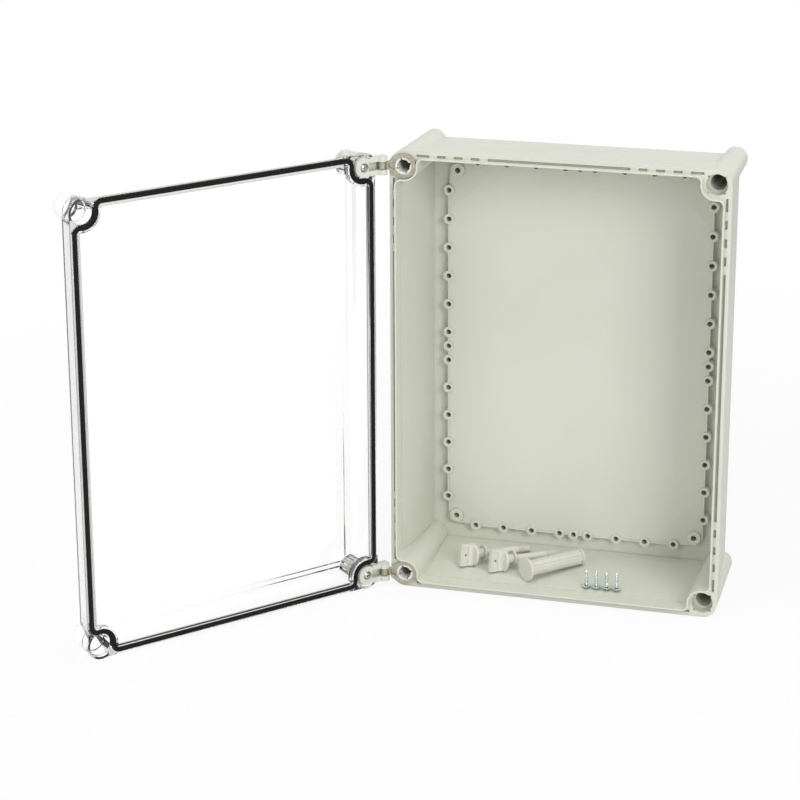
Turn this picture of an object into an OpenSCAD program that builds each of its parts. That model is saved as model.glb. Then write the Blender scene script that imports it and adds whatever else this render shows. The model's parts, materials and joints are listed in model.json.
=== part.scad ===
// Hinged polycarbonate enclosure: a moulded base, a clear lid hung on two plug-in
// corner hinges, and the loose fixings that lie inside the box.
// Frame: +X to the right, +Y to the wall, +Z up. The origin is the centre of the
// back face, which is also the centre of the four wall-fixing holes.
// The mouldings are drawn lying on their backs (z away from the wall), then stood up.

/* [Housing] */
// Width of the rim
body_w = 280; // [240:10:360]
// Height of the rim
body_h = 380; // [340:10:480]
// Depth of the base from the wall to the rim
base_d = 96; // [80:1:140]
// Depth of the lid from its rim to its front
lid_d = 33.6; // [30:0.2:50]
// Inset of each outer wall at its far end, from the draft
wall_draft = 9.3; // [6:0.1:10]
// Radius of the corner posts at the rim
post_r = 12.5; // [12:0.1:13]
// Radius of the corner posts at their far ends
post_tip_r = 9.6; // [9.4:0.1:11]

/* [Rim and seal] */
// Distance from the edge of the rim to the middle of the gasket
seal_inset = 4.9; // [4.7:0.1:5.2]
// Distance by which the sealing ridge stands inside the middle of the gasket
ridge_shift = 0.8; // [0:0.1:0.8]
// Thickness of the sealing ridge
ridge_t = 1.5; // [1.2:0.1:1.6]
// Height of the sealing ridge above the rim
ridge_h = 4.5; // [3:0.1:5]
// Radius of the seal where it passes round a corner post
seal_arc_r = 11.6; // [11.5:0.1:12]
// Width of the gasket
gasket_w = 4; // [3:0.1:4.2]
// Thickness of the gasket
gasket_t = 3; // [2:0.1:4]
// Depth of the core-out slots in the rim
slot_depth = 2.5; // [1:0.5:8]

/* [Mounting bosses] */
// Pitch of the mounting bosses
boss_pitch = 25; // [25:25:25]
// Radius of a grid boss
boss_r = 4.6; // [4:0.1:5.2]
// Radius of the hole in a grid boss
boss_hole_r = 2.2; // [1.5:0.1:2.6]
// Radius of a plate boss in each corner
plate_boss_r = 6; // [5:0.1:7]
// Radius of the hole in a plate boss
plate_hole_r = 2.5; // [2:0.1:3]
// Radius of a wall-fixing hole
wall_hole_r = 3; // [2:0.1:4]

/* [Lid and hinge] */
// Angle by which the lid stands open
lid_open = 129.6; // [0:0.1:180]
// Distance of the hinge pin outside the edge of the rim
pin_out = 5; // [4.5:0.1:6]
// Distance of the hinge pin in front of the rim
pin_front = 3.64; // [3.4:0.02:4]
// Radius of the hinge pin
pin_r = 1.25; // [1:0.05:1.5]
// Thickness of the hinge ring that lies on the rim
ring_t = 2.8; // [2:0.1:3]
// Height of the hinge arm between the two ears of the block
arm_h = 6.3; // [5:0.1:8]
// Height of the hinge block over both ears
block_h = 15.2; // [13:0.1:16]

/* [Loose fixings] */
// Radius of a closing screw's shank
shank_r = 3; // [2.5:0.1:3.3]
// Radius of a closing screw's knob
knob_r = 9.9; // [9:0.1:10.4]
// Length of a closing screw
closing_screw_l = 68; // [60:1:75]
// Length of the hole plug
plug_l = 57.5; // [50:0.5:65]
// Length of a mounting screw's shank
mount_screw_l = 12; // [8:0.5:16]

/* [Hidden] */
$fn = 48;

half_w = body_w / 2;
half_h = body_h / 2;
post_x = half_w - post_r;
post_y = half_h - post_r;
eps = 0.01;
body_colour = [0.83, 0.84, 0.78];
clear_colour = [0.86, 0.9, 0.9, 0.35];
hinge_colour = [0.76, 0.7, 0.62];
zinc_colour = [0.75, 0.8, 0.82];

// Inside of the base
ridge_inset = seal_inset + ridge_shift;      // from the edge to the middle of the ridge
ridge_in = ridge_inset + ridge_t / 2;        // from the edge to the inner face of the ridge
ledge_depth = 11;                            // behind the rim, where the inner wall steps in
ledge_step = 0.8;
floor_t = 3.8;                               // wall-side panel
side_t = 3.3;                                // side wall at the wall-side panel
panel_top = 10.6;                            // raised middle panel, above the back face
panel_edge = 8.4;                            // its corners slope down to this height
link_top = 11.2;                             // ribs that link the bosses
boss_top = 11.5;
boss_hole_l = 8.5;
boss_col_x = 112.5;
boss_row_y = 162.5;
plate_x = 105;
plate_y = 155;
fillet_r = 5;                                // where a side runs into a corner post

// Corner sockets
socket_r = 8.8;
socket_depth = 9;
bore_r = 6.6;
post_floor = 4;

// Lid
lid_gap = 0.4;                               // between the rims when the lid is shut
groove_bottom = ridge_h + 0.4 + gasket_t;    // from the lid's rim to the bottom of the groove
lid_wall = 3;
lid_inner_rib = 2;
rib_in = seal_inset + gasket_w / 2 + lid_inner_rib;
ring_recess = 3.2;                           // lid corners sit over the hinge rings
tube_bore_r = 8.5;                           // in front of the web
tube_rear_r = 10;                            // behind the web
tube_web = [8.2, 11.2];                      // web across a lid tube, from the lid's rim
tube_web_hole_r = 6.2;
bond = 0.06;                                 // how far the foamed-in gasket keys into the groove

// Hinge
pin_x = -half_w - pin_out;
pin_z = base_d + pin_front;
ring_r = 10.4;
ear_r = 4.2;
eye_r = 2.9;
block_t = 6.6;                               // block, from its rear face to its front face
disc_r = 8.2;
sleeve_r = 7.2;                              // white sleeve, pressed into the ring
sleeve_bore_r = 5.3;
running = 0.05;                              // radial clearance of the pin in the arm's eye

// Closing screw: a wing that spreads into a disc, a neck, a collar, a shank and a thread
wing_t = 4;
wing_l = 7.4;
scoop_r = 3.4;                               // sweep from the wing out to the disc
disc_t = 2.4;
knob_l = wing_l + scoop_r + disc_t;
neck_r = 4.2;
collar_x = knob_l + 8.5;
collar_r = 6.9;
thread_l = 13.6;
thread_pitch = 1.7;
thread_r = shank_r + 0.2;
core_r = shank_r - 0.6;

// Hole plug
flange_r = 10.3;
barrel_r = 6.1;
plug_lip_r = 7.1;

// Pan-head screws
pan_hinge = [3.6, 2, 1.9];                   // head radius, head height, thread radius
pan_mounting = [3.8, 2.6, 1.6];
mounting_row = [26, 17.5];                   // first screw: X, and depth behind the rim
mounting_step = 8.65;

// Inner floor, on which the loose fixings lie
floor_run = base_d - floor_t - ledge_depth;
floor_fall = ridge_in + ledge_step - wall_draft - side_t;
floor_slope = -floor_fall / floor_run;
lying_gap = 0.06;

// ---------- Shared shapes ----------

// Stands a moulding up: z, away from the wall, becomes -Y, and y becomes +Z
module upright() rotate([90, 0, 0]) children();

module each_corner()
    for (sx = [-1, 1], sy = [-1, 1]) translate([sx * post_x, sy * post_y, 0]) children();

// Mirrors what is drawn for the upper right corner into another corner
module into_corner(sx, sy)
    mirror([sx < 0 ? 1 : 0, 0, 0]) mirror([0, sy < 0 ? 1 : 0, 0]) children();

module each_corner_mirrored()
    for (sx = [-1, 1], sy = [-1, 1])
        translate([sx * post_x, sy * post_y, 0]) into_corner(sx, sy) children();

// A body with four drafted sides: the half sizes at z0 and at z1 are given
module drafted(x0, y0, z0, x1, y1, z1) {
    intersection() {
        rotate([90, 0, 0]) linear_extrude(2 * max(y0, y1) + 2, center = true)
            polygon([[-x0, z0], [x0, z0], [x1, z1], [-x1, z1]]);
        rotate([90, 0, 90]) linear_extrude(2 * max(x0, x1) + 2, center = true)
            polygon([[-y0, z0], [y0, z0], [y1, z1], [-y1, z1]]);
    }
}

// Outer form: walls that stop inside the corner posts, and the four tapered posts.
// The rim is at z_rim, and the walls draw in towards z_far.
module outer_form(z_rim, z_far) {
    low = min(z_rim, z_far);
    high = max(z_rim, z_far);
    inset_low = z_rim < z_far ? 0 : wall_draft;
    inset_high = z_rim < z_far ? wall_draft : 0;
    intersection() {
        drafted(half_w - inset_low, half_h - inset_low, low,
                half_w - inset_high, half_h - inset_high, high);
        translate([0, 0, low]) linear_extrude(high - low) {
            square([body_w + 2, 2 * post_y], center = true);
            square([2 * post_x, body_h + 2], center = true);
        }
    }
    each_corner() translate([0, 0, low])
        cylinder(h = high - low, r1 = z_rim < z_far ? post_r : post_tip_r,
                 r2 = z_rim < z_far ? post_tip_r : post_r);
}

// Plan of a corner: a round of radius r about the post, run into two straight sides
// at the given inset by concave fillets
module corner_plan(r, inset, fillet) {
    side = post_r - inset;                   // from the post's centre to each straight side
    off = side - fillet;                     // to the fillet's centre, across
    along = sqrt(pow(r + fillet, 2) - off * off);
    t = r / (r + fillet);
    circle(r);
    square(post_r + 1);
    for (m = [0, 1]) mirror([m, -m, 0]) difference() {
        polygon([[0, 0], [off * t, -along * t], [off, -along], [side, -along],
                 [post_r, -along], [post_r, 0]]);
        translate([off, -along]) circle(fillet);
    }
}

// Plan of everything inside the line at the given inset that passes round the posts
module inside_plan(inset, r, fillet) {
    difference() {
        square([body_w - 2 * inset, body_h - 2 * inset], center = true);
        each_corner_mirrored() corner_plan(r, inset, fillet);
    }
}

// Band of width w along the inside of the rim, which passes round the posts
module seal_band(w, inset = seal_inset) {
    difference() {
        inside_plan(inset - w / 2, seal_arc_r - w / 2, fillet_r + w / 2);
        inside_plan(inset + w / 2, seal_arc_r + w / 2, fillet_r - w / 2);
    }
}

// ---------- Base ----------

// Core-outs in two opposite sides of the rim, which lie at y = -edge and y = edge: a
// long slot in the middle, short ones beside it and one in each corner
module rim_slots(edge, centre_l, shorts, corner) {
    slot_w = 1.9;
    slot_inset = 3.9;
    short_l = 7;
    corner_l = 10.5;
    for (s = [-1, 1]) translate([0, s * (edge - slot_inset), 0]) {
        cube([centre_l, slot_w, 2 * slot_depth], center = true);
        for (e = [-1, 1]) {
            for (x = shorts) translate([e * x, 0, 0])
                cube([short_l, slot_w, 2 * slot_depth], center = true);
            translate([e * corner, 0, 0]) cube([corner_l, slot_w, 2 * slot_depth], center = true);
        }
    }
}

// Positions of the grid bosses along a column or a row of n bosses each side of the middle
function boss_line(n) = concat([0], [for (i = [0:n - 1], s = [-1, 1]) s * boss_pitch * (i + 0.5)]);
function boss_places() = concat(
    [for (s = [-1, 1], y = boss_line(6)) [s * boss_col_x, y]],
    [for (s = [-1, 1], x = boss_line(4)) [x, s * boss_row_y]]);
function plate_places() = [for (sx = [-1, 1], sy = [-1, 1]) [sx * plate_x, sy * plate_y]];

// Middle of the wall-side panel, raised, and the ribs that link the bosses along its edge
module raised_panel() {
    last_y = 5.5 * boss_pitch;
    last_x = 3.5 * boss_pitch;
    ramp = 20;
    hull() {
        translate([0, 0, 1]) linear_extrude(panel_edge - 1) {
            square([2 * boss_col_x, 2 * (last_y + ramp)], center = true);
            square([2 * (last_x + ramp), 2 * boss_row_y], center = true);
        }
        linear_extrude(panel_top) {
            square([2 * boss_col_x, 2 * (last_y - ramp)], center = true);
            square([2 * (last_x - ramp), 2 * boss_row_y], center = true);
        }
    }
    rib = 1.4;
    for (s = [-1, 1]) {
        translate([s * boss_col_x - rib / 2, -last_y, 1]) cube([rib, 2 * last_y, link_top - 1]);
        translate([-last_x, s * boss_row_y - rib / 2, 1]) cube([2 * last_x, rib, link_top - 1]);
    }
}

// The wall side is cored out behind the raised panel and crossed by stiffening ribs
module back_core() {
    core_x = 98;
    core_y = 148;
    rib_gap = 49;
    difference() {
        translate([-core_x, -core_y, -1]) cube([2 * core_x, 2 * core_y, panel_top - floor_t + 1]);
        for (x = [-1:1]) translate([x * rib_gap - 1.2, -core_y - 1, -2])
            cube([2.4, 2 * core_y + 2, panel_top]);
        for (y = [-2:2]) translate([-core_x - 1, y * rib_gap - 1.2, -2])
            cube([2 * core_x + 2, 2.4, panel_top]);
    }
}

// Space inside the base, with a step where the sealing ridge's wall meets the sides
module base_cavity() {
    top = base_d + ridge_h + 1;
    ledge_z = base_d - ledge_depth;
    translate([0, 0, ledge_z]) linear_extrude(top - ledge_z)
        square([body_w - 2 * ridge_in, body_h - 2 * ridge_in], center = true);
    drafted(half_w - wall_draft - side_t, half_h - wall_draft - side_t, floor_t,
            half_w - ridge_in - ledge_step, half_h - ridge_in - ledge_step, ledge_z + eps);
}

module base() color(body_colour) upright() {
    difference() {
        union() {
            difference() {
                union() {
                    outer_form(base_d, 0);
                    translate([0, 0, base_d - 1]) linear_extrude(ridge_h + 1)
                        seal_band(ridge_t, ridge_inset);
                }
                difference() {
                    base_cavity();
                    each_corner_mirrored() linear_extrude(base_d + ridge_h + 2)
                        corner_plan(seal_arc_r + ridge_t / 2, ridge_in, fillet_r - ridge_t / 2);
                }
                translate([0, 0, base_d]) {
                    rim_slots(half_h, 116, [68.5, 82.5, 96.5], 112);
                    rotate(90) rim_slots(half_w, 210, [115.5, 130.5, 145.5], 161.5);
                }
            }
            raised_panel();
            for (p = boss_places()) translate([p[0], p[1], 1]) cylinder(h = boss_top - 1, r = boss_r);
            for (p = plate_places()) translate([p[0], p[1], 1])
                cylinder(h = boss_top - 1, r = plate_boss_r);
        }
        back_core();
        for (p = boss_places()) translate([p[0], p[1], boss_top - boss_hole_l])
            cylinder(h = boss_hole_l + 1, r = boss_hole_r);
        for (p = plate_places()) translate([p[0], p[1], boss_top - boss_hole_l])
            cylinder(h = boss_hole_l + 1, r = plate_hole_r);
        each_corner() {
            translate([0, 0, base_d - socket_depth]) cylinder(h = 20, r = socket_r);
            translate([0, 0, post_floor]) cylinder(h = base_d, r = bore_r);
            translate([0, 0, -1]) cylinder(h = base_d, r = wall_hole_r);
            // Key slots round the socket
            for (a = [45:90:315]) rotate(a) translate([socket_r - 0.6, -1, base_d - 2.5])
                cube([1.8, 2, 5]);
        }
    }
}

// ---------- Lid ----------

// Everything on the lid is drawn shut, from the lid's rim, and then opened about the pin
module lid_place()
    translate([pin_x, -pin_z, 0]) rotate([0, 0, -lid_open]) translate([-pin_x, pin_z, 0])
        upright() translate([0, 0, base_d]) children();

module lid_cavity() {
    drafted(half_w - rib_in, half_h - rib_in, -1,
            half_w - wall_draft - lid_wall, half_h - wall_draft - lid_wall, lid_d - lid_wall);
}

// Opening in a hinge-side corner through which the hinge block passes
module block_notch()
    translate([-20, -block_h / 2 - 0.3, -1]) cube([20, block_h + 0.6, ring_recess + block_t + 1.6]);

module lid() color(clear_colour) lid_place() {
    difference() {
        outer_form(lid_gap, lid_d);
        difference() {
            lid_cavity();
            each_corner_mirrored() translate([0, 0, -1]) {
                linear_extrude(groove_bottom + 3)
                    corner_plan(seal_arc_r + gasket_w / 2 + lid_inner_rib, rib_in, fillet_r - 3);
                cylinder(h = lid_d + 1, r = tube_bore_r + 2.4);
            }
        }
        translate([0, 0, -1]) linear_extrude(groove_bottom + 1) seal_band(gasket_w);
        each_corner() {
            translate([0, 0, -1]) cylinder(h = ring_recess + 1, r = seal_arc_r - gasket_w / 2 + 1);
            translate([0, 0, -1]) cylinder(h = tube_web[0] + 1, r = tube_rear_r);
            translate([0, 0, tube_web[1]]) cylinder(h = lid_d, r = tube_bore_r);
            cylinder(h = lid_d, r = tube_web_hole_r);
        }
        for (sy = [-1, 1]) translate([-post_x, sy * post_y, 0]) block_notch();
    }
}

module lid_gasket() color([0.08, 0.08, 0.08]) lid_place()
    translate([0, 0, groove_bottom - gasket_t]) linear_extrude(gasket_t + bond)
        seal_band(gasket_w + 2 * bond);

// ---------- Hinges ----------

module at_hinge(s) translate([-post_x, s * post_y, 0]) children();

module hinge_ring(s) color(hinge_colour) upright() at_hinge(s) translate([0, 0, base_d]) {
    px = pin_x + post_x;
    difference() {
        union() {
            cylinder(h = ring_t, r = ring_r);
            translate([0, 0, 1 - socket_depth]) cylinder(h = socket_depth, r = socket_r - 0.1);
            // Lug that narrows from the ring to the arm
            linear_extrude(ring_t) polygon([[-6, 8.4], [-10.6, 6], [-post_r - 0.4, arm_h / 2],
                [-post_r - 0.4, -arm_h / 2], [-10.6, -6], [-6, -8.4]]);
            translate([px, -arm_h / 2, 0]) cube([-px - 6, arm_h, ring_t]);
            translate([px, 0, pin_front]) rotate([90, 0, 0]) cylinder(h = arm_h, r = eye_r, center = true);
        }
        translate([0, 0, -20]) cylinder(h = 40, r = sleeve_r);
        // Funnel-shaped recess in the lug
        translate([0, 0, ring_t - 1.2]) linear_extrude(5)
            polygon([[-7.6, 3.6], [-12.6, 1.5], [-12.6, -1.5], [-7.6, -3.6]]);
        translate([px, 0, pin_front]) rotate([90, 0, 0])
            cylinder(h = 2 * arm_h, r = pin_r + running, center = true);
    }
}

// White sleeve that locks the ring into the corner socket
module hinge_sleeve(s) color([0.93, 0.93, 0.9]) upright() at_hinge(s) translate([0, 0, base_d]) {
    difference() {
        translate([0, 0, 1 - socket_depth]) cylinder(h = socket_depth + ring_t - 1.6, r = sleeve_r);
        translate([0, 0, -20]) cylinder(h = 40, r = sleeve_bore_r);
        for (a = [20:90:290]) rotate(a) translate([4.8, -0.8, ring_t - 6]) cube([1.7, 1.6, 8]);
    }
}

module hinge_pin(s) color(zinc_colour) upright()
    translate([pin_x, s * post_y, pin_z]) rotate([90, 0, 0])
        cylinder(h = block_h - 0.6, r = pin_r, center = true);

module hinge_block(s) color(body_colour) lid_place() at_hinge(s) {
    px = pin_x + post_x;
    slot_h = arm_h + 0.6;
    difference() {
        union() {
            translate([px, 0, pin_front]) rotate([90, 0, 0])
                cylinder(h = block_h, r = ear_r, center = true);
            translate([px - ear_r, -block_h / 2, pin_front]) cube([ear_r + 1, block_h, block_t - 1]);
            translate([px, -block_h / 2, ring_recess]) cube([-px - 5, block_h, block_t]);
            translate([0, 0, ring_recess]) cylinder(h = tube_web[0] - ring_recess, r = disc_r);
        }
        // Slot in which the arm of the ring swings
        translate([px - 20, -slot_h / 2, -5]) cube([20, slot_h, pin_front + 5 + 4.1]);
        translate([px - 0.01, -slot_h / 2, -5]) cube([13.2, slot_h, ring_recess + block_t + 5 - 1]);
        translate([px, 0, pin_front]) rotate([90, 0, 0])
            cylinder(h = block_h - 0.6, r = pin_r, center = true);
        cylinder(h = 40, r = 2);
        translate([0, 0, ring_recess - 1]) cylinder(h = 1 + 2.2, r = 3.9);
    }
}

// Pan-head screw along z with the underside of its head at z = 0 and the head below it.
// Its thread is a stack of double cones.
module pan_screw(sizes, length) {
    head_r = sizes[0];
    head_t = sizes[1];
    crest_r = sizes[2];
    root_r = 0.72 * crest_r;
    dome_r = 1.2 * head_r;
    pitch = 1.4;
    turns = floor(length / pitch);
    difference() {
        rotate_extrude() intersection() {
            translate([0, -head_t]) square([head_r, head_t]);
            translate([0, dome_r - head_t]) circle(dome_r);
        }
        for (a = [0, 90]) rotate(a) translate([-head_r * 0.55, -0.5, -head_t - 1])
            cube([head_r * 1.1, 1, 2.2]);
    }
    translate([0, 0, -eps]) cylinder(h = length, r = root_r);
    for (i = [0:turns - 1]) translate([0, 0, i * pitch]) {
        cylinder(h = pitch / 2, r1 = root_r, r2 = crest_r);
        translate([0, 0, pitch / 2 - eps]) cylinder(h = pitch / 2 + eps, r1 = crest_r, r2 = root_r);
    }
    translate([0, 0, length - 2 * eps]) cylinder(h = 1.4, r1 = root_r, r2 = 0.4);
}

module hinge_screw(s) color(zinc_colour) lid_place() at_hinge(s)
    translate([0, 0, ring_recess + 2.2]) pan_screw(pan_hinge, 15);

// Cap that closes the lid tube from the front and takes the hinge screw
module hinge_cap(s) color(body_colour) lid_place() at_hinge(s) difference() {
    translate([0, 0, tube_web[1]]) cylinder(h = lid_d - 0.6 - tube_web[1], r = tube_bore_r - 0.1);
    translate([0, 0, tube_web[1] - 1]) cylinder(h = 12, r = 1.9);
}

// ---------- Loose fixings ----------

// Height of the drafted inner floor, in the part's Z, at a depth behind the rim
function floor_z(depth) =
    -half_h + ridge_in + ledge_step + (depth - ledge_depth) * floor_slope;

// Lays a fixing drawn along +x on the inner floor: x and depth behind the rim of its
// near end, heading across the floor, the two places along it that touch the floor and
// their radii
module lay(x, depth, heading, touch, radii) {
    run = touch[1] - touch[0];
    climb = floor_slope * sin(heading);
    tilt = atan((radii[0] - radii[1]) / run - climb);
    lift = touch[0] * (climb * cos(tilt) + sin(tilt)) + radii[0] * cos(tilt);
    translate([x, depth - base_d, floor_z(depth) + lift + lying_gap])
        rotate([0, 0, heading]) rotate([0, tilt, 0]) children();
}

// Wing and disc of a closing screw, along +z: a round bar cut away on both sides of the
// wing, with a scoop where the wing spreads into the disc
module closing_knob() {
    wide = 30;
    border = 2.2;
    sunk = 0.6;
    difference() {
        cylinder(h = knob_l, r = knob_r);
        for (m = [0, 1]) mirror([0, m, 0]) {
            translate([0, wing_t / 2 + scoop_r, wing_l]) rotate([0, 90, 0])
                cylinder(h = wide, r = scoop_r, center = true);
            translate([-wide / 2, wing_t / 2, -1]) cube([wide, wide, wing_l + 1]);
            // The disc is open beside the scoop
            translate([-wide / 2, wing_t / 2 + scoop_r, -1])
                cube([wide, wide, wing_l + scoop_r + 1]);
            // Sunk field inside the wing's border
            translate([border - knob_r, wing_t / 2 - sunk, 1.3])
                cube([2 * (knob_r - border), 2 * sunk, wing_l - 2]);
        }
        // Hole through the wing
        translate([0, 0, 4.7]) rotate([90, 0, 0]) cylinder(h = 20, r = 1.1, center = true);
    }
}

// Closing screw along +x, drawn from the wing to the thread's end
module closing_screw() color([0.8, 0.8, 0.74]) rotate([0, 90, 0]) {
    thread_z = closing_screw_l - thread_l;
    closing_knob();
    translate([0, 0, knob_l - eps]) cylinder(h = collar_x - knob_l + 1, r = neck_r);
    translate([0, 0, collar_x]) cylinder(h = 1.6, r = collar_r);
    translate([0, 0, collar_x + 1]) cylinder(h = thread_z - collar_x, r = shank_r);
    for (i = [0:7]) translate([0, 0, thread_z + i * thread_pitch]) {
        cylinder(h = thread_pitch / 2, r1 = core_r, r2 = thread_r);
        translate([0, 0, thread_pitch / 2 - eps])
            cylinder(h = thread_pitch / 2 + 2 * eps, r1 = thread_r, r2 = core_r);
    }
    translate([0, 0, thread_z - eps]) cylinder(h = thread_l, r = core_r);
}

module lying_closing_screw(x, depth, heading)
    lay(x, depth, heading, [knob_l, closing_screw_l], [knob_r, thread_r]) closing_screw();

// Plug that closes the hole of a corner post: a flange, a barrel with lengthwise ribs
// and a lip, drawn along +x
module hole_plug() color([0.82, 0.83, 0.77])
    lay(-27.3, 19.1, 47.5, [0, plug_l], [flange_r, plug_lip_r]) rotate([0, 90, 0]) {
        cylinder(h = 1.8, r = flange_r);
        cylinder(h = plug_l, r = barrel_r);
        for (a = [0:45:315]) rotate(a) translate([barrel_r - 0.7, -1.1, 1])
            cube([1.3, 2.2, plug_l - 3]);
        translate([0, 0, plug_l - 2]) cylinder(h = 2.2, r = plug_lip_r);
    }

// Mounting screw that stands on its head, in a row on the inner floor
module mounting_screw(i) color(zinc_colour) {
    x = mounting_row[0] + mounting_step * (i - 1);
    depth = mounting_row[1];
    translate([x, depth - base_d, floor_z(depth) + pan_mounting[1] + 0.1])
        pan_screw(pan_mounting, mount_screw_l);
}

base();
lid();
lid_gasket();
hinge_ring(1);  // hinge_ring_upper
hinge_ring(-1);  // hinge_ring_lower
hinge_sleeve(1);  // hinge_sleeve_upper
hinge_sleeve(-1);  // hinge_sleeve_lower
hinge_pin(1);  // hinge_pin_upper
hinge_pin(-1);  // hinge_pin_lower
hinge_block(1);  // hinge_block_upper
hinge_block(-1);  // hinge_block_lower
hinge_screw(1);  // hinge_screw_upper
hinge_screw(-1);  // hinge_screw_lower
hinge_cap(1);  // hinge_cap_upper
hinge_cap(-1);  // hinge_cap_lower
lying_closing_screw(-87.3, 30.4, 42);  // closing_screw_left
lying_closing_screw(-59.8, 25.5, 43);  // closing_screw_right
hole_plug();
mounting_screw(1);  // mounting_screw_1
mounting_screw(2);  // mounting_screw_2
mounting_screw(3);  // mounting_screw_3
mounting_screw(4);  // mounting_screw_4
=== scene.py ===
"""Looks of the hinged polycarbonate enclosure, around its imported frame.

Metres, in the part's frame: +X to the right, +Y to the wall, +Z up, and the origin at the
centre of the back face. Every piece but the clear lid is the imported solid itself. A shell cut
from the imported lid's own mesh stands for the lid.
"""

import json
import math

import bmesh
import bpy
from mathutils import Euler, Matrix, Vector


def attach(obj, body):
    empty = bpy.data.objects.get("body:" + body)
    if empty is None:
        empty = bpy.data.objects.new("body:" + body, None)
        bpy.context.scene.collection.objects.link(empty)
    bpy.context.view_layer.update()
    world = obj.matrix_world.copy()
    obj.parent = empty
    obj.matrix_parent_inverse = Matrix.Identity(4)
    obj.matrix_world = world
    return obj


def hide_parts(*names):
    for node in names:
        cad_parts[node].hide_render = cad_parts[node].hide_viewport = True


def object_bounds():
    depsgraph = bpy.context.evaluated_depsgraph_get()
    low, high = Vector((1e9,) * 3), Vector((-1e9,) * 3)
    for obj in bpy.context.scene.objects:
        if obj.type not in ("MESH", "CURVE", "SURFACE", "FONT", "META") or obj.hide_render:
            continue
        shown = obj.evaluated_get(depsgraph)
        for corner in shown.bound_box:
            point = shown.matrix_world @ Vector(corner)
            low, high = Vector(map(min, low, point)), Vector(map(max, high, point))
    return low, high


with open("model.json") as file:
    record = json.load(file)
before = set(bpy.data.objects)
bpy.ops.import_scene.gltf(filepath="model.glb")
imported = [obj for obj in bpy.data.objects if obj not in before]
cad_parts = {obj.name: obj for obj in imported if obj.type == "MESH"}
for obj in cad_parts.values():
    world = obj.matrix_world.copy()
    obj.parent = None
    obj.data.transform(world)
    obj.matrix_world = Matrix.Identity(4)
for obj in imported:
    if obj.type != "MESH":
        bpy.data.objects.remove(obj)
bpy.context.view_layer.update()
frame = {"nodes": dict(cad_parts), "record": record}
NODES = frame["nodes"]


def in_scene(name, data):
    """A new object of the data, in the scene."""
    made = bpy.data.objects.new(name, data)
    bpy.context.scene.collection.objects.link(made)
    return made


# ---------- Camera ----------

CAMERA_PLACE = (0.43860, -2.08483, 0.67122)
CAMERA_TURN = (71.4435, 0.2080, 15.9351)  # degrees
CAMERA_LENS = 117.62  # mm
SENSOR_WIDTH = 36  # mm
SIGHT = 30  # the camera's reach, past the far side of the floor

camera_data = bpy.data.cameras.new("camera")
camera_data.lens = CAMERA_LENS
camera_data.sensor_width = SENSOR_WIDTH
camera_data.clip_end = SIGHT
camera = in_scene("camera", camera_data)
camera.location = CAMERA_PLACE
camera.rotation_euler = Euler([math.radians(a) for a in CAMERA_TURN], "XYZ")
bpy.context.scene.camera = camera

# ---------- Node trees ----------

NOISE_ROUGHNESS = 0.55
NOISE_SPAN = (0.3, 0.7)  # where most of a noise's values lie
OPEN_SPAN = (0.2, 0.85)  # from a crevice to open surface, as ambient occlusion gives it, over which the painted shade fades
PAINTED_SHADE_WARMTH = 1.06  # how much faster blue fades than red and green in the painted shade of a crevice


class Nodes:
    """A node tree, emptied, with short ways to fill it."""

    def __init__(self, tree):
        self.tree = tree
        tree.nodes.clear()

    def node(self, kind, **settings):
        made = self.tree.nodes.new("ShaderNode" + kind)
        for key, value in settings.items():
            setattr(made, key, value)
        return made

    def link(self, source, target):
        self.tree.links.new(source, target)

    def spread(self, source, span, new_span):
        """source, from one span of values, spread over another."""
        made = self.node("MapRange")
        ends = ("From Min", "From Max", "To Min", "To Max")
        for socket, value in zip(ends, (*span, *new_span)):
            made.inputs[socket].default_value = value
        self.link(source, made.inputs["Value"])
        return made.outputs["Result"]

    def combine(self, operation, first, second):
        """Two values through one Math node."""
        made = self.node("Math", operation=operation)
        self.link(first, made.inputs[0])
        self.link(second, made.inputs[1])
        return made.outputs[0]

    def mix_shaders(self, factor, first, second):
        """The first shader, giving way to the second as the factor goes to 1."""
        made = self.node("MixShader")
        for socket, source in zip(made.inputs, (factor, first, second)):
            self.link(source, socket)
        return made.outputs["Shader"]


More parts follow.
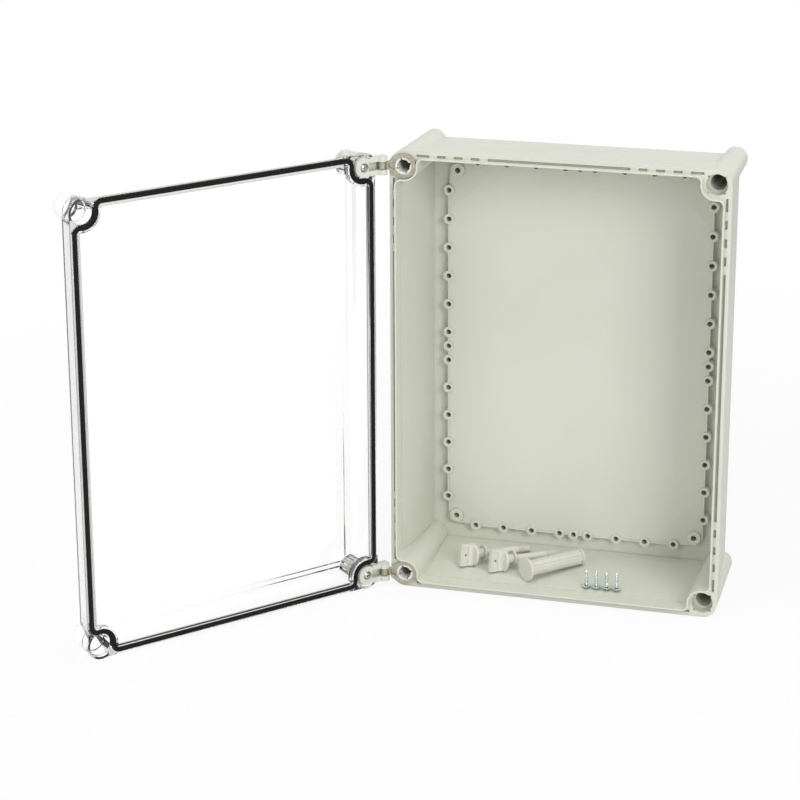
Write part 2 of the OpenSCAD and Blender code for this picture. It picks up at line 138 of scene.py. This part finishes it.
class Shader(Nodes):
    """A material's node tree, with one Principled shader on its output."""

    def __init__(self, name):
        self.material = bpy.data.materials.new(name)
        self.material.use_nodes = True
        super().__init__(self.material.node_tree)
        self.output = self.node("OutputMaterial")
        self.principled = self.node("BsdfPrincipled")
        self.link(self.principled.outputs["BSDF"], self.output.inputs["Surface"])
        self.place = self.node("TexCoord").outputs["Object"]

    def set(self, **values):
        """Plain values of the Principled shader's sockets, with _ for a space."""
        for key, value in values.items():
            self.principled.inputs[key.replace("_", " ")].default_value = value

    def noise(self, scale, detail):
        """Noise over the part, with its scale in cells per metre."""
        made = self.node("TexNoise")
        made.inputs["Scale"].default_value = scale
        made.inputs["Detail"].default_value = detail
        made.inputs["Roughness"].default_value = NOISE_ROUGHNESS
        self.link(self.place, made.inputs["Vector"])
        return made.outputs["Fac"]

    def blend(self, factor, first, second, kind="MIX"):
        """Two colours, each a socket or a plain one, blended at factor."""
        made = self.node("Mix", data_type="RGBA", blend_type=kind)
        # A Mix node has its factor in socket 0 and its two colours in sockets 6 and 7
        for socket, value in ((made.inputs[6], first), (made.inputs[7], second)):
            if isinstance(value, tuple):
                socket.default_value = (*value, 1)
            else:
                self.link(value, socket)
        self.link(factor, made.inputs[0])
        return made.outputs[2]

    def painted_crevice_shade(self, source, reach, share):
        """The colour source with painted shade: darker by up to share where other surfaces lie
        within reach.
        """
        near = self.node("AmbientOcclusion", samples=8)
        near.inputs["Distance"].default_value = reach
        dark = (1 - share, 1 - share, 1 - PAINTED_SHADE_WARMTH * share)
        factor = self.spread(near.outputs["AO"], OPEN_SPAN, (1, 0))
        return self.blend(factor, source, dark, "MULTIPLY")

    def colour(self, source):
        self.link(source, self.principled.inputs["Base Color"])

    def roughness(self, source):
        self.link(source, self.principled.inputs["Roughness"])

    def bumps(self, height, strength, distance, edge):
        """Bumps from a height, on edges rounded to the radius edge."""
        bump = self.node("Bump")
        bump.inputs["Strength"].default_value = strength
        bump.inputs["Distance"].default_value = distance
        self.link(height, bump.inputs["Height"])
        bevel = self.node("Bevel", samples=6)
        bevel.inputs["Radius"].default_value = edge
        self.link(bevel.outputs["Normal"], bump.inputs["Normal"])
        self.link(bump.outputs["Normal"], self.principled.inputs["Normal"])


# ---------- Materials ----------

# How near and how strongly other surfaces darken the colour, as painted shade in crevices
MOULDED_PAINTED_SHADE = {"reach": 0.004, "share": 0.22}
METAL_PAINTED_SHADE = {"reach": 0.0025, "share": 0.6}
LID_TINT = (0.58, 0.58, 0.55, 1)
LID_DENSITY = 34  # how fast light takes on the tint, per metre
LID_SHADOW = (0.93, 0.94, 0.94, 1)  # what one wall of the lid lets through of a lamp


def moulded(name, base, rough, edge):
    """Moulded plastic: fine spark-eroded grain, faint clouding, a few dull patches and painted
    shade in hollows.
    """
    s = Shader(name)
    red, green, blue = base
    darker = (red * 0.965, green * 0.965, blue * 0.955)
    paler = tuple(channel * 1.025 for channel in base)
    body = s.blend(s.spread(s.noise(9, 4), NOISE_SPAN, (0, 1)), darker, paler)
    # Painted shade: the colour darkens where ambient occlusion finds other surfaces close by
    s.colour(s.painted_crevice_shade(body, **MOULDED_PAINTED_SHADE))
    s.roughness(s.spread(s.noise(38, 5), NOISE_SPAN, (rough - 0.05, rough + 0.06)))
    s.bumps(s.noise(2600, 2), 0.35, 0.00003, edge)
    return s


def clear_plastic(name):
    """Clear polycarbonate: bends light, lets lamps through, and greys light that runs far in it."""
    s = Shader(name)
    s.set(Base_Color=(0.995, 1, 1, 1), Transmission_Weight=1, IOR=1.55, Roughness=0.015)
    s.bumps(s.noise(60, 4), 0.05, 0.00004, 0.0004)
    clear = s.node("BsdfTransparent")
    clear.inputs["Color"].default_value = LID_SHADOW
    in_shadow = s.node("LightPath").outputs["Is Shadow Ray"]
    surface = s.mix_shaders(in_shadow, s.principled.outputs["BSDF"], clear.outputs["BSDF"])
    s.link(surface, s.output.inputs["Surface"])
    absorb = s.node("VolumeAbsorption")
    absorb.inputs["Color"].default_value = LID_TINT
    absorb.inputs["Density"].default_value = LID_DENSITY
    s.link(absorb.outputs["Volume"], s.output.inputs["Volume"])
    return s


def foam(name):
    """Black foamed rubber: dull, with fine pores."""
    s = Shader(name)
    s.set(IOR=1.4, Specular_IOR_Level=0.25)
    s.colour(s.blend(s.noise(900, 3), (0.004, 0.004, 0.0035), (0.012, 0.0115, 0.010)))
    s.roughness(s.spread(s.noise(250, 4), NOISE_SPAN, (0.62, 0.80)))
    s.bumps(s.noise(1800, 4), 0.5, 0.00012, 0.0006)
    return s


def metal(name, base, tint, rough, metallic, edge):
    """Plated metal with a fine grain, uneven brightness and painted shade in its hollows."""
    s = Shader(name)
    s.set(Metallic=metallic, IOR=1.6)
    body = s.blend(s.spread(s.noise(260, 4), (0.35, 0.65), (0, 1)), base, tint)
    # Painted shade: the colour darkens where ambient occlusion finds other surfaces close by
    s.colour(s.painted_crevice_shade(body, **METAL_PAINTED_SHADE))
    s.roughness(s.spread(s.noise(700, 4), NOISE_SPAN, (rough - 0.06, rough + 0.10)))
    s.bumps(s.noise(1500, 3), 0.3, 0.00004, edge)
    return s


FINISHES = {
    "housing": moulded("housing", (0.675, 0.690, 0.600), 0.40, 0.0004),
    "clear_lid": clear_plastic("clear_lid"),
    "gasket": foam("gasket"),
    "hinge_metal": metal(
        "hinge_metal", (0.44, 0.41, 0.31), (0.53, 0.495, 0.385), 0.30, 0.7, 0.0003
    ),
    "white_sleeve": moulded("white_sleeve", (0.80, 0.80, 0.77), 0.34, 0.0002),
    "fixings": moulded("fixings", (0.70, 0.695, 0.62), 0.36, 0.0003),
    "zinc": metal("zinc", (0.62, 0.72, 0.75), (0.78, 0.87, 0.89), 0.22, 0.95, 0.0002),
}


def finish(piece, slot):
    piece.data.materials.clear()
    piece.data.materials.append(FINISHES[slot].material)


for row in frame["record"]["subparts"]:
    finish(NODES[row["node"]], row["material_slot"])

# ---------- Clear lid ----------

# The lid's rim lies level with the face of its gasket, and its free corner tubes open into
# pockets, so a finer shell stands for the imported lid.
HINGE = frame["record"]["behaviour"]["joints"][0]
LID_ANGLE = math.radians(HINGE["range_deg"][1])  # from the photographed place to shut
BASE_DEPTH = 0.096
POST_X = 0.1275
POST_Z = 0.1775
RIM_DEPTH = 0.00485  # from the base's rim to the lid's when it is shut
POCKET_DEPTH = 0.018
POCKET_RADIUS = 0.0096
FOAM_GAP = 0.00016  # how far the corners of the foam's outline are moved to widen its groove
TOOL_START = -0.01  # a depth well before the lid
TOOL_REACH = 0.2  # half of the side of a square that covers the lid
SAME_PLACE = 1e-7


def in_lid(x, z, depth):
    """Where a point of the shut lid lies on the open one. depth is before the base's rim."""
    pin = Vector(HINGE["pos_m"])
    arm = Vector((x, -BASE_DEPTH - depth, z)) - pin
    return pin + Matrix.Rotation(-LID_ANGLE, 3, "Z") @ arm


def mesh_object(name, corners, faces):
    mesh = bpy.data.meshes.new(name)
    mesh.from_pydata(corners, [], faces)
    return in_scene(name, mesh)


def prism(name, outline, depths):
    """A straight solid along the lid's depth, from (x, z) points on the shut lid."""
    corners = [in_lid(x, z, depth) for depth in depths for x, z in outline]
    n = len(outline)
    sides = [(i, (i + 1) % n, n + (i + 1) % n, n + i) for i in range(n)]
    return mesh_object(name, corners, [tuple(range(n))[::-1], tuple(range(n, 2 * n)), *sides])


def square(reach):
    return [(-reach, -reach), (reach, -reach), (reach, reach), (-reach, reach)]


def ring(x, z, radius, steps=64):
    turns = [2 * math.pi * i / steps for i in range(steps)]
    return [(x + radius * math.cos(t), z + radius * math.sin(t)) for t in turns]


def clean(piece, change=None):
    """Joins the piece's doubled corners and turns its faces outwards, then makes the change."""
    piece.data.validate()
    shape = bmesh.new()
    shape.from_mesh(piece.data)
    bmesh.ops.remove_doubles(shape, verts=shape.verts, dist=SAME_PLACE)
    bmesh.ops.recalc_face_normals(shape, faces=shape.faces)
    if change:
        shape.normal_update()
        change(shape)
    shape.to_mesh(piece.data)
    shape.free()


def widen(shape):
    """Moves the sides of the foam's form outwards and both its ends towards the base."""
    into_lid = Vector((-math.sin(LID_ANGLE), -math.cos(LID_ANGLE), 0))
    for corner in shape.verts:
        depth = corner.normal.dot(into_lid)
        corner.co += (corner.normal - into_lid * depth) * FOAM_GAP
        if abs(depth) > 0.3:  # the corner is on an end
            corner.co -= into_lid * FOAM_GAP


def cut(piece, tool):
    """Takes the tool's form out of the piece, and the tool out of the scene."""
    clean(piece)
    clean(tool)
    step = piece.modifiers.new("cut", "BOOLEAN")
    step.operation = "DIFFERENCE"
    step.solver = "EXACT"
    step.object = tool
    bpy.context.view_layer.update()
    shaped = piece.evaluated_get(bpy.context.evaluated_depsgraph_get())
    mesh = bpy.data.meshes.new_from_object(shaped)
    piece.modifiers.clear()
    piece.data = mesh
    bpy.data.objects.remove(tool)


shell = in_scene("lid_shell", NODES["lid"].data.copy())
cut(shell, prism("rim_cut", square(TOOL_REACH), (TOOL_START, RIM_DEPTH)))
for side in (-1, 1):
    pocket = ring(POST_X, side * POST_Z, POCKET_RADIUS)
    cut(shell, prism("pocket_cut", pocket, (TOOL_START, POCKET_DEPTH)))
# The foam is bonded to the groove's floor and stays a hair clear of its side walls
groove = in_scene("groove_cut", NODES["lid_gasket"].data.copy())
clean(groove, widen)
cut(shell, groove)
finish(shell, "clear_lid")
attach(shell, "lid")
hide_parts("lid")

# ---------- Stage ----------

FLOOR_REACH = 6.0
FLOOR_GAP = 0.0003  # below the lowest piece
SHADOW_SHARE = 0.12  # how much of its shadow the floor shows
SHADOW_SPAN = (0.35, 1.0)  # the distances from the object over which that share fades out
THROUGH_LID = 1.16  # the floor's brightness through the lid, which takes some of it away

low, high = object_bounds()
floor_z = low[2] - FLOOR_GAP
floor = mesh_object("floor", [(x, y, floor_z) for x, y in square(FLOOR_REACH)], [(0, 1, 2, 3)])

# The floor is white where it is seen, also through the lid, and keeps a share of its shadow
paper = Shader("paper")
paper.set(Base_Color=(0.86, 0.86, 0.86, 1), Roughness=0.9, Specular_IOR_Level=0)
rays = paper.node("LightPath").outputs
white = paper.node("Emission")
white.inputs["Color"].default_value = (1, 1, 1, 1)
strength = paper.spread(rays["Is Transmission Ray"], (0, 1), (1, THROUGH_LID))
paper.link(strength, white.inputs["Strength"])
distance = paper.node("VectorMath", operation="LENGTH")
paper.link(paper.place, distance.inputs[0])
lit = paper.spread(distance.outputs["Value"], SHADOW_SPAN, (1 - SHADOW_SHARE, 1))
seen = paper.combine("MAXIMUM", rays["Is Camera Ray"], rays["Is Transmission Ray"])
surface = paper.mix_shaders(
    paper.combine("MULTIPLY", seen, lit),
    paper.principled.outputs["BSDF"],
    white.outputs["Emission"],
)
paper.link(surface, paper.output.inputs["Surface"])
floor.data.materials.append(paper.material)

# ---------- Light ----------

FILL_COLOUR = (0.97, 0.98, 1.0, 1)
FILL_STRENGTH = 0.42
DARK_END = 0.5  # the grey of the studio's far end, which shows in reflections
FADE_SPAN = (-0.35, 0.05)  # the Y of the directions over which it turns to white

world = bpy.data.worlds.new("studio")
bpy.context.scene.world = world
world.use_nodes = True
studio = Nodes(world.node_tree)
rays = studio.node("LightPath").outputs
fill = studio.node("Background")
fill.inputs["Color"].default_value = FILL_COLOUR
fill.inputs["Strength"].default_value = FILL_STRENGTH
# Surfaces reflect white behind the object and grey before it, and the camera sees only white
direction = studio.node("SeparateXYZ")
studio.link(studio.node("TexCoord").outputs["Generated"], direction.inputs["Vector"])
shade = studio.spread(direction.outputs["Y"], FADE_SPAN, (DARK_END, 1))
backdrop = studio.node("Background")
studio.link(
    studio.combine("MAXIMUM", shade, rays["Is Camera Ray"]),
    backdrop.inputs["Color"],
)
seen = studio.combine("MAXIMUM", rays["Is Camera Ray"], rays["Is Glossy Ray"])
surface = studio.mix_shaders(
    studio.combine("MAXIMUM", seen, rays["Is Transmission Ray"]),
    fill.outputs["Background"],
    backdrop.outputs["Background"],
)
studio.link(surface, studio.node("OutputWorld").inputs["Surface"])


def softbox(name, place, aim, size, power):
    """A rectangular lamp of so many watts that faces its aim."""
    data = bpy.data.lights.new(name, "AREA")
    data.shape = "RECTANGLE"
    data.size, data.size_y = size
    data.energy = power
    lamp = in_scene(name, data)
    lamp.location = place
    lamp.rotation_euler = (Vector(aim) - Vector(place)).to_track_quat("-Z", "Y").to_euler()


softbox("overhead", (0.2, -0.5, 2.2), (0, -0.1, 0), (1.8, 1.4), 22)
softbox("front_right", (1.9, -2.3, 1.3), (0, 0, 0), (1.2, 1.2), 42)
softbox("front_left", (-1.3, -2.6, 1.0), (0, 0, 0), (1.2, 1.2), 12)

bpy.context.scene.view_settings.view_transform = "Standard"
